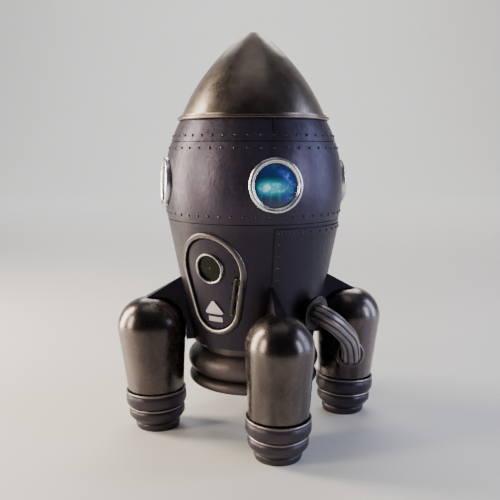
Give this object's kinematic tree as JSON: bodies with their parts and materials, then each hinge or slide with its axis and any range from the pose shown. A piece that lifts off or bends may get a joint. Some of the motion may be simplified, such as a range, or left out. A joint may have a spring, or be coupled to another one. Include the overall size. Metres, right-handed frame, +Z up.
{
  "type": "tin space rocket",
  "caption": "Toy rocket of pressed tin: a riveted barrel hull with portholes and a hinged, latched hatch, on round landing legs around an engine bell.",
  "frame": {"origin": "on the ground, midway between the four feet, under the hull's axis", "axes": "+Z up along the hull's axis; -Y towards the hatch; +X towards the side plate and the feed pipe"},
  "size_m": [0.1304, 0.1304, 0.24],
  "materials": {
    "hull_paint": "satin dark violet-grey paint, lightly worn",
    "engine_paint": "satin dark taupe paint, sooty",
    "dark_metal": "darkened steel",
    "polished_metal": "polished gunmetal, slightly mottled",
    "bright_metal": "bright silver, scratched",
    "rivet_metal": "painted rivet heads, worn at the crown",
    "fastener_steel": "plain steel",
    "hinge_brass": "dull brass",
    "pipe_metal": "grey metal with dark grooves",
    "blue_glass": "deep blue glass",
    "dark_green_glass": "dark green glass",
    "marking_paint": "pale grey paint, scuffed"
  },
  "bodies": {
    "hull": {"lower_hull": "hull_paint", "porthole_band": "hull_paint", "top_band": "hull_paint", "lower_seam_hoop": "dark_metal", "upper_seam_hoop": "dark_metal", "lower_seam_rivets": "rivet_metal", "upper_seam_rivets": "rivet_metal", "side_plate": "hull_paint", "side_plate_rivets": "rivet_metal", "nose_ring": "bright_metal", "nose_cone": "polished_metal", "base_plate": "dark_metal", "engine_neck": "engine_paint", "engine_upper_ring": "engine_paint", "engine_lower_ring": "engine_paint", "engine_nozzle": "dark_metal", "engine_fasteners": "fastener_steel", "pylon_1": "hull_paint", "pylon_2": "hull_paint", "pylon_3": "hull_paint", "pylon_4": "hull_paint", "nacelle_1": "polished_metal", "nacelle_2": "polished_metal", "nacelle_3": "polished_metal", "nacelle_4": "polished_metal", "upper_collar_1": "hull_paint", "upper_collar_2": "hull_paint", "upper_collar_3": "hull_paint", "upper_collar_4": "hull_paint", "lower_collar_1": "hull_paint", "lower_collar_2": "hull_paint", "lower_collar_3": "hull_paint", "lower_collar_4": "hull_paint", "foot_1": "hull_paint", "foot_2": "hull_paint", "foot_3": "hull_paint", "foot_4": "hull_paint", "leg_screws": "fastener_steel", "porthole_bezel_1": "bright_metal", "porthole_bezel_2": "bright_metal", "porthole_bezel_3": "bright_metal", "porthole_bezel_4": "bright_metal", "porthole_glass_1": "blue_glass", "porthole_glass_2": "blue_glass", "porthole_glass_3": "blue_glass", "porthole_glass_4": "blue_glass", "porthole_retainers": "dark_metal", "hatch_frame": "hull_paint", "hatch_hinge_bracket": "hinge_brass", "hatch_hinge_pin": "fastener_steel", "pipe_socket": "dark_metal", "feed_pipe": "pipe_metal", "pipe_boss": "polished_metal"},
    "hatch": {"hatch_panel": "hull_paint", "hatch_window_bezel": "bright_metal", "hatch_window_glass": "dark_green_glass", "hatch_window_retainer": "dark_metal", "latch_mark": "marking_paint"},
    "latch": {"latch_arrow": "marking_paint", "latch_bolt": "fastener_steel"}
  },
  "joints": [
    {"name": "hatch_hinge", "type": "hinge", "parent": "hull", "child": "hatch", "pos_m": [0.01161, -0.04149, 0.07707], "axis": [0.2196, -0.1217, 0.968], "range_deg": [0, 110]},
    {"name": "latch_slide", "type": "slide", "parent": "hatch", "child": "latch", "axis": [0, -0.1867, 0.9824], "range_m": [0, 0.0035]}
  ]
}
